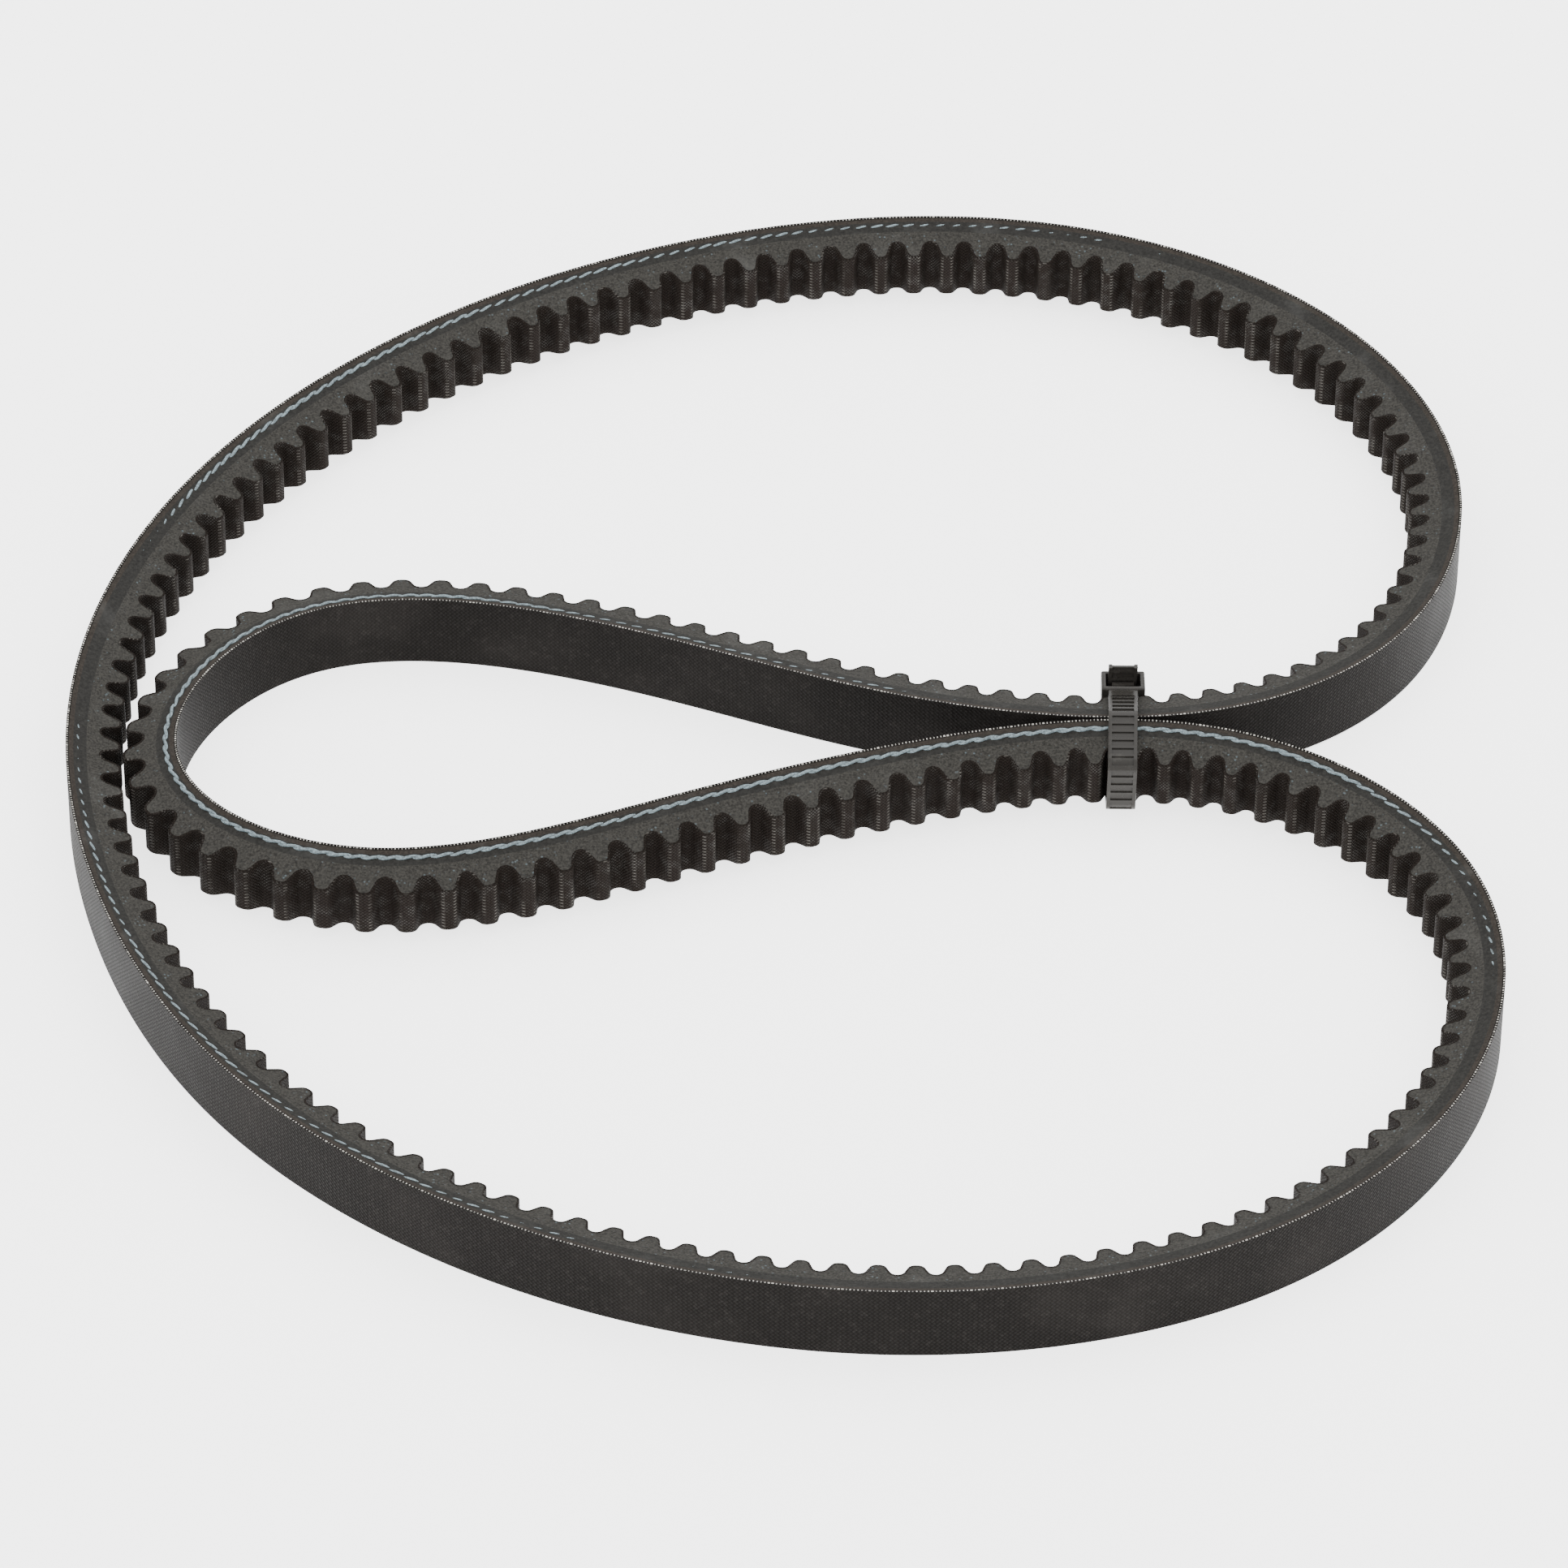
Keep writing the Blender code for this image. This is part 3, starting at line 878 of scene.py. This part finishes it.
def facing_weave(colours, route):
    """Fabric moulded over the cogs, with a pale painted highlight hatch along each tip's corners.
    """
    finish = Finish("facing_weave", 0.6, 0.04)
    u, v = finish.along_and_across()
    weave = woven(u, v, FACING_THREAD)
    place = finish.place()
    patches = finish.noise(place, 60.0, 4.0)
    scuff = finish.noise(place, 420.0).ramp(0.46, 0.70)
    # Patchy mask that breaks up the painted corner highlight.
    highlight_spots = finish.noise(place, 260.0, 2.0).ramp(0.36, 0.62)
    dusty = weave.ramp(0.55, 0.95) * scuff * 0.35 + patches.ramp(0.55, 0.8) * 0.07
    tone = finish.colour(shade(colours.facing, 0.5), shade(colours.facing, 1.5), weave)
    tone = finish.colour(tone, colours.dust, dusty)
    # Painted highlight: a pale dotted hatch along each cog's upper corners, in the thread colour.
    tone = finish.colour(tone, colours.thread, corner_highlight_hatch(route, u, v) * highlight_spots * 0.13)
    return finish.surface(tone, 0.50 + patches * 0.3, weave, 0.12 * MM, 0.85)


def bare_cord(colours):
    """Treated polyester filaments, with rubber left between them."""
    finish = Finish("bare_cord", 0.62, 0.4)
    place = finish.place()
    filaments = finish.noise(finish.stretch(place, (1.0, 1.0, 2.2)), 2600.0, 2.0, 0.6)
    smear = finish.noise(place, 520.0)
    dark, light = shade(colours.cord, 0.5), shade(colours.cord, 1.35)
    tone = finish.colour(dark, light, filaments.ramp(0.3, 0.7))
    tone = finish.colour(tone, colours.overcord, smear.ramp(0.55, 0.78) * 0.55)
    return finish.surface(tone, 0.5 + filaments * 0.25, filaments, 0.05 * MM, 0.8)


def cut_threads(colours):
    """Frayed pale ends of the back fabric's threads."""
    finish = Finish("cut_threads", 0.7, 0.3)
    grain = finish.noise(finish.place(), 1500.0, 2.0)
    tone = finish.colour(shade(colours.thread, 0.35), colours.thread, grain.ramp(0.28, 0.6))
    return finish.surface(tone, 0.55 + grain * 0.3, grain, 0.05 * MM, 0.7)


def black_nylon(colours):
    """Moulded nylon: semi-gloss, with a fine mould texture and faint scuffs."""
    finish = Finish("black_nylon", 0.36, 0.18)
    place = finish.place()
    grain = finish.noise(place, 2200.0, 2.0)
    scuff = finish.noise(place, 300.0, 4.0).ramp(0.52, 0.75)
    tone = finish.colour(colours.nylon, shade(colours.nylon, 2.2, 0.01), scuff * 0.5)
    return finish.surface(tone, 0.22 + scuff * 0.16 + grain * 0.08, grain, 0.02 * MM, 0.5)


def pale_floor(colours, glow):
    """Plain matt floor, lit from below like a light table."""
    finish = Finish("pale_floor", 0.9, 0.1)
    mottle = finish.noise(finish.place(), 3.0, 2.0)
    finish.set("Base Color", finish.colour(colours.floor, shade(colours.floor, 0.985), mottle))
    finish.set("Emission Color", (1.0, 1.0, 1.0, 1.0))
    finish.set("Emission Strength", glow)
    return finish.material


# ---------------- pieces


def body_name():
    """The fixed body of the frame."""
    return next(name for name in frame["bodies"] if name != "pawl")


class BELT_OT_back(bpy.types.Operator):
    """Model the woven back"""

    bl_idname = "belt.back"
    bl_label = "Woven back"

    def execute(self, context):
        route = belt_route()
        piece = whole_belt(straight_ply("belt_back", route, 0.0, route.sizes.back_fabric), route)
        finish_piece(piece, "back_fabric", back_weave(context.scene.belt_colours))
        return {"FINISHED"}


class BELT_OT_rubber(bpy.types.Operator):
    """Model the overcord rubber and the adhesion gum"""

    bl_idname = "belt.rubber"
    bl_label = "Rubber over and under the cord"

    def execute(self, context):
        route = belt_route()
        sizes = route.sizes
        colours = context.scene.belt_colours
        middle = sizes.back_fabric + sizes.overcord
        overcord = straight_ply("belt_overcord", route, sizes.back_fabric, middle)
        gum = straight_ply("belt_gum", route, middle, sizes.gum_end)
        plies = (
            (overcord, "overcord_rubber", colours.overcord, 2300.0),
            (gum, "adhesion_gum", colours.gum, 1900.0),
        )
        for ply, slot, base, grain in plies:
            rubber = cut_rubber(slot, base, colours.dust, grain)
            finish_piece(whole_belt(ply, route), slot, rubber)
        return {"FINISHED"}


class BELT_OT_cogs(bpy.types.Operator):
    """Model the cogged rubber and its fabric facing"""

    bl_idname = "belt.cogs"
    bl_label = "Cogs and their facing"

    def execute(self, context):
        route = belt_route()
        colours = context.scene.belt_colours
        core = straight_cog("belt_undercord", route, route.sizes.gum_end, CORE_SKIN)
        finish_piece(whole_belt(core, route), "undercord_rubber", fibre_rubber(colours))
        facing = whole_belt(cog_shell("belt_facing", route), route, cog_run(route))
        finish_piece(facing, "cog_fabric", facing_weave(colours, route))
        return {"FINISHED"}


class BELT_OT_cord(bpy.types.Operator):
    """Model the twisted cord where the flanks' cut lays it bare"""

    bl_idname = "belt.cord"
    bl_label = "Bare cord"

    def execute(self, context):
        route = belt_route()
        cord = bare_cord(context.scene.belt_colours)
        flanks = (("belt_cord_upper", 1.0, 0.0), ("belt_cord_lower", -1.0, route.length / 2))
        for name, side, shift in flanks:
            piece = twisted_cord(name, route, side, shift)
            finish_piece(piece, "tensile_cord", cord, THREAD_SMOOTH)
        return {"FINISHED"}


class BELT_OT_threads(bpy.types.Operator):
    """Model the cut thread ends along both edges of the back"""

    bl_idname = "belt.threads"
    bl_label = "Thread ends"

    def execute(self, context):
        route = belt_route()
        pale = cut_threads(context.scene.belt_colours)
        for name, side in (("belt_threads_upper", 1.0), ("belt_threads_lower", -1.0)):
            piece = thread_ends(name, route, side)
            finish_piece(piece, "back_fabric", pale, THREAD_SMOOTH, stands_in=False)
        return {"FINISHED"}


class BELT_OT_strap(bpy.types.Operator):
    """Model the cable tie's ladder strap"""

    bl_idname = "belt.strap"
    bl_label = "Tie strap"

    def execute(self, context):
        piece = ladder_strap("tie_band", belt_route())
        finish_piece(piece, "tie_strap", nylon(context), TIE_SMOOTH)
        return {"FINISHED"}


class BELT_OT_head(bpy.types.Operator):
    """Model the cable tie's head and give the pawl its finish"""

    bl_idname = "belt.head"
    bl_label = "Tie head"

    def execute(self, context):
        piece = tie_head("tie_block", context.scene.tie_sizes)
        finish_piece(piece, "tie_head", nylon(context), TIE_SMOOTH)
        paint(frame["nodes"]["tie_pawl"], nylon(context))
        return {"FINISHED"}


class BELT_OT_stage(bpy.types.Operator):
    """Set the floor, the light and the camera"""

    bl_idname = "belt.stage"
    bl_label = "Stage"

    def execute(self, context):
        set_floor(context)
        set_light(context)
        set_camera(context)
        return {"FINISHED"}


def nylon(context):
    """The tie's one finish, made when it is first asked for."""
    made = bpy.data.materials.get("black_nylon")
    return made or black_nylon(context.scene.belt_colours)


def bareness(route, along):
    """How bare the outermost cord lies at each distance along the belt."""
    cogs, shown = zip(*CORD_SHOWING)
    count = route.sizes.cog_count
    where = (along / route.pitch + route.sizes.cog_phase) % count
    waver = np.random.default_rng(RANDOM_SEED).uniform(*WAVER, count)
    level = np.interp(where, cogs, shown)
    return level + np.interp(where, np.arange(count), waver) * (level > 0)


def one_twist(name, sizes, turn):
    """One full twist of the cord's strands, along X."""
    bpy.ops.mesh.primitive_circle_add(
        vertices=STRAND_SIDES, radius=sizes.strand_radius,
        location=(0, sizes.cord_radius, 0), rotation=(0, math.pi / 2, 0),
    )
    piece = settle(name)
    apply_modifier(
        piece, "twist", "SCREW", axis="X", angle=-2 * math.pi, screw_offset=turn,
        steps=STEPS_PER_TURN, render_steps=STEPS_PER_TURN, use_merge_vertices=False,
    )
    edit(piece)
    for _ in range(STRANDS - 1):
        bpy.ops.mesh.duplicate()
        bpy.ops.transform.rotate(
            value=2 * math.pi / STRANDS, orient_axis="X", center_override=(0, 0, 0),
        )
    leave_edit()
    return piece


def twisted_cord(name, route, side, shift):
    """Two strands twisted together, sunk in the flank where they stay buried."""
    sizes = route.sizes
    turns = round(route.length / sizes.cord_lay)
    turn = route.length / turns
    piece = one_twist(name, sizes, turn)
    repeat(piece, turns, turn)
    edit(piece)
    bpy.ops.mesh.normals_make_consistent(inside=False)
    bpy.ops.mesh.flip_normals()
    leave_edit()
    points = read_points(piece)
    shown = bareness(route, (points[:, 0] + shift) % route.length)
    radius = sizes.cord_radius + sizes.strand_radius
    deep = flank_inset(sizes, sizes.cord_depth) + radius * (BURIED - shown)
    points[:, 1] += sizes.cord_depth - sizes.pitch_depth
    points[:, 2] += sizes.top_width - deep if side > 0 else deep
    write_points(piece, points)
    wrap(piece, route)
    join_seam(piece)
    return piece


def thread_stub(name, sizes, step, side):
    """One cut thread end at the back's edge, narrower where it stands out."""
    depth = sizes.back_fabric * 0.5
    edge = flank_inset(sizes, depth)
    middle = sizes.top_width - edge if side > 0 else edge
    deep = depth - sizes.pitch_depth
    low = (step / 2 - STUB_HALF, deep - STUB_REACH, middle - STUB_HALF)
    high = (step / 2 + STUB_HALF, deep + STUB_HALF, middle + STUB_HALF)
    piece = start_piece(name, low, high)
    edit(piece)
    pick(piece, "faces", lambda face: face.normal.z * side > SQUARE_ON)
    centre = ((low[0] + high[0]) / 2, (low[1] + high[1]) / 2, middle)
    bpy.ops.transform.resize(value=(STUB_TAPER, STUB_TAPER, 1.0), center_override=centre)
    leave_edit()
    return piece, middle


def thread_ends(name, route, side):
    """A row of small frayed ends, each a little different."""
    sizes = route.sizes
    count = round(sizes.thread_pitch * sizes.cog_count)
    step = route.length / count
    piece, middle = thread_stub(name, sizes, step, side)
    repeat(piece, count, step, merge=False)
    points = read_points(piece)
    which = np.clip((points[:, 0] / step).astype(int), 0, count - 1)
    chance = np.random.default_rng(RANDOM_SEED + int(side > 0))
    broad = chance.uniform(*STUB_BREADTH, count)
    broad[chance.random(count) < DOUBLE_CHANCE] = STUB_DOUBLE
    tall = chance.uniform(*STUB_HEIGHT, count)
    centre = (which + 0.5) * step
    points[:, 0] = centre + (points[:, 0] - centre) * broad[which]
    out = points[:, 2] - middle
    points[:, 2] = middle + np.where(out * side > 0, out * tall[which], out)
    write_points(piece, points)
    wrap(piece, route)
    return piece


def rounded(points, radius):
    """A polyline with each inner corner rounded by an arc."""
    path = [points[0]]
    for before, corner, after in zip(points, points[1:], points[2:]):
        behind, ahead = np.linalg.norm(before - corner), np.linalg.norm(after - corner)
        back = (before - corner) / behind
        forth = (after - corner) / ahead
        half = math.acos(float(np.clip(back @ forth, -1, 1))) / 2
        reach = min(radius / math.tan(half), LEG_SHARE * min(behind, ahead))
        first = corner + back * reach
        last = corner + forth * reach
        for step in range(STRAP_ARC_STEPS + 1):
            t = step / STRAP_ARC_STEPS
            path.append(first * (1 - t) ** 2 + corner * 2 * t * (1 - t) + last * t**2)
    path.append(points[-1])
    return np.array(path)


def strap_line(route):
    """The strap's inner side as evenly spaced points, and its length."""
    corners = np.array(STRAP_ROUTE) * MM + np.array((route.tie_centre()[1], 0.0))
    line = rounded(corners, route.tie.corner_radius)
    steps = np.linalg.norm(np.diff(line, axis=0), axis=1)
    distance = np.concatenate(([0.0], np.cumsum(steps)))
    run = distance[-1]
    return follow(line, distance, np.linspace(0.0, run, round(run / STRAP_GUIDE_STEP))), run


def round_strap(piece, tie):
    """Round the strap's four long corners."""

    def is_outer_edge(edge):
        first, second = (vertex.co for vertex in edge.verts)
        lengthwise = abs(first.x - second.x) > CLOSE
        at_side = min(first.z, tie.strap_width - first.z) < CLOSE
        at_face = min(-first.y, first.y + tie.strap_thickness) < CLOSE
        return lengthwise and at_side and at_face and abs(first.y - second.y) < CLOSE

    pick(piece, "edges", is_outer_edge)
    bpy.ops.mesh.bevel(offset=STRAP_ROUND, segments=2, affect="EDGES")


def ladder_step(name, tie, pitch):
    """One rung between its rails and pockets, on both faces of the strap."""
    pocket = tie.pocket_depth
    low = (0, pocket - tie.strap_thickness, 0)
    piece = start_piece(name, low, (pitch, -pocket, tie.strap_width))
    edit(piece)
    rung = (pitch / 2 - tie.rung_width / 2, pitch / 2 + tie.rung_width / 2)
    rails = (tie.rail_width, tie.strap_width - tie.rail_width)
    cut("X", rung)
    cut("Z", rails)

    def is_raised(face, side):
        middle = face.calc_center_median()
        on_rail = not rails[0] < middle.z < rails[1]
        return face.normal.y * side > SQUARE_ON and (on_rail or rung[0] < middle.x < rung[1])

    for side in (-1, 1):
        pick(piece, "faces", lambda face: is_raised(face, side))
        bpy.ops.mesh.extrude_region_move(
            TRANSFORM_OT_translate={"value": (0, side * pocket, 0)},
        )
    open_ends(piece, pitch)
    round_strap(piece, tie)
    cut_every(pitch, STRAP_CUTS_PER_RUNG)
    leave_edit()
    return piece


def smooth_root(name, tie, run):
    """The plain start of the strap, below its head."""
    root = start_piece(name, (0, -tie.strap_thickness, 0), (run, 0, tie.strap_width))
    edit(root)
    open_ends(root, run)
    cut_every(run, STRAP_SMOOTH_RUNGS * STRAP_CUTS_PER_RUNG)
    round_strap(root, tie)
    leave_edit()
    return root


def ladder_strap(name, route):
    """The strap: a smooth root, then rungs between two rails, bent round both runs."""
    tie = route.tie
    line, run = strap_line(route)
    count = round(run / tie.rung_pitch)
    pitch = run / count
    smooth = STRAP_SMOOTH_RUNGS * pitch
    piece = ladder_step(name, tie, pitch)
    repeat(piece, count - STRAP_SMOOTH_RUNGS, pitch)
    points = read_points(piece)
    points[:, 0] += smooth
    write_points(piece, points)
    cap_ends(piece, (smooth, run))
    root = smooth_root(name + "_root", tie, smooth)
    cap_ends(root, (0.0, smooth))
    piece = join((piece, root))
    points = read_points(piece)
    points[:, 2] -= STRAP_DRIFT * np.sin(math.pi * np.clip(points[:, 0] / run, 0, 1))
    write_points(piece, points)
    bend(piece, add_guide("strap_guide", line, closed=False))
    points = read_points(piece)
    low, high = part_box("tie_strap")
    side = (low.x + high.x) / 2 - tie.strap_width / 2
    write_points(piece, np.column_stack((points[:, 2] + side, points[:, 0], points[:, 1])))
    return piece


def cap_ends(piece, places):
    """Close the straight strap's cut ends at these places along X."""

    def is_rim(edge, place):
        return edge.is_boundary and all(abs(end.co.x - place) < CLOSE for end in edge.verts)

    edit(piece)
    for place in places:
        pick(piece, "edges", lambda edge: is_rim(edge, place))
        bpy.ops.mesh.edge_face_add()
    leave_edit()


def join(pieces):
    """Join pieces into the first of them."""
    take_up(*pieces)
    bpy.ops.object.join()
    return pieces[0]


def tie_head(name, tie):
    """The locking head: a rounded block with a slot through it."""
    low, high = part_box("tie_head")
    piece = start_piece(name, low, high)
    edit(piece)
    pick(piece, "faces", lambda face: abs(face.normal.z) > SQUARE_ON)
    bpy.ops.mesh.inset(thickness=tie.head_wall, depth=0.0)
    bpy.ops.mesh.bridge_edge_loops()

    def from_side(vertex):
        place = vertex.co
        return min(place.x - low.x, high.x - place.x, place.y - low.y, high.y - place.y)

    def is_outside(edge):
        return all(from_side(vertex) < CLOSE for vertex in edge.verts)

    def is_slot_rim(edge):
        flat = all(min(end.co.z - low.z, high.z - end.co.z) < CLOSE for end in edge.verts)
        return flat and all(from_side(end) > tie.head_wall * 0.95 for end in edge.verts)

    pick(piece, "edges", is_outside)
    bpy.ops.mesh.bevel(offset=HEAD_ROUND, segments=3, affect="EDGES")
    pick(piece, "edges", is_slot_rim)
    bpy.ops.mesh.bevel(offset=SLOT_ROUND, segments=2, affect="EDGES")
    leave_edit()
    return piece


# ---------------- stage


def set_floor(context):
    """A wide pale floor."""
    scene = context.scene
    bpy.ops.mesh.primitive_plane_add(size=FLOOR_SIZE)
    floor = context.object
    floor.name = "stage_floor"
    paint(floor, pale_floor(scene.belt_colours, scene.belt_studio.floor_glow))


def set_light(context):
    """Pale surroundings and two large softboxes."""
    studio = context.scene.belt_studio
    world = bpy.data.worlds.new("studio_sky")
    world.use_nodes = True
    sky = world.node_tree.nodes["Background"]
    sky.inputs["Color"].default_value = (1.0, 1.0, 1.0, 1.0)
    sky.inputs["Strength"].default_value = studio.sky
    context.scene.world = world
    boxes = (
        ("key_softbox", (0.35, 0.75, 1.25), studio.key),
        ("fill_softbox", (-0.9, -0.9, 1.0), studio.fill),
    )
    for name, place, power in boxes:
        light = bpy.data.lights.new(name, "AREA")
        light.shape = "SQUARE"
        light.size = SOFTBOX_SIDE
        light.energy = power
        lamp = bpy.data.objects.new(name, light)
        lamp.location = place
        lamp.rotation_euler = (-Vector(place)).to_track_quat("-Z", "Y").to_euler()
        context.scene.collection.objects.link(lamp)


def set_camera(context):
    """A long lens, looking down at the belt from the front."""
    studio = context.scene.belt_studio
    data = bpy.data.cameras.new("studio_camera")
    data.lens = studio.lens
    data.sensor_width = 36.0
    data.clip_start = 0.05
    data.clip_end = 50.0
    camera = bpy.data.objects.new("studio_camera", data)
    tilt = Matrix.Rotation(math.pi / 2 - studio.elevation, 4, "X")
    roll = Matrix.Rotation(studio.roll, 4, "Z")
    aim = Vector((studio.aim_x, studio.aim_y, 0.0))
    away = Vector((0.0, -math.cos(studio.elevation), math.sin(studio.elevation)))
    camera.matrix_world = Matrix.Translation(aim + away * studio.distance) @ tilt @ roll
    context.scene.collection.objects.link(camera)
    context.scene.camera = camera


# ---------------- add-on


class BELT_PT_panel(bpy.types.Panel):
    """The belt's pieces, sizes and colours"""

    bl_idname = "BELT_PT_panel"
    bl_label = "Tied cogged V-belt"
    bl_space_type = "VIEW_3D"
    bl_region_type = "UI"
    bl_category = "Belt"

    def draw(self, context):
        for operator in PIECES:
            self.layout.operator(operator.bl_idname)
        for name in GROUPS:
            group = getattr(context.scene, name)
            box = self.layout.box()
            for key in group.__annotations__:
                box.prop(group, key)


PIECES = (
    BELT_OT_back, BELT_OT_rubber, BELT_OT_cogs, BELT_OT_cord, BELT_OT_threads,
    BELT_OT_strap, BELT_OT_head, BELT_OT_stage,
)
GROUPS = {
    "belt_sizes": BeltSizes, "tie_sizes": TieSizes, "belt_colours": BeltColours,
    "belt_studio": Studio,
}
CLASSES = (*GROUPS.values(), *PIECES, BELT_PT_panel)


def register():
    """Add the classes and the settings."""
    for cls in CLASSES:
        bpy.utils.register_class(cls)
    for name, group in GROUPS.items():
        setattr(bpy.types.Scene, name, PointerProperty(type=group))


def unregister():
    """Take the settings and the classes away."""
    for name in GROUPS:
        delattr(bpy.types.Scene, name)
    for cls in reversed(CLASSES):
        bpy.utils.unregister_class(cls)


def main():
    """Make every piece."""
    register()
    bpy.ops.belt.back()
    bpy.ops.belt.rubber()
    bpy.ops.belt.cogs()
    bpy.ops.belt.cord()
    bpy.ops.belt.threads()
    bpy.ops.belt.strap()
    bpy.ops.belt.head()
    bpy.ops.belt.stage()


if __name__ == "__main__":
    main()
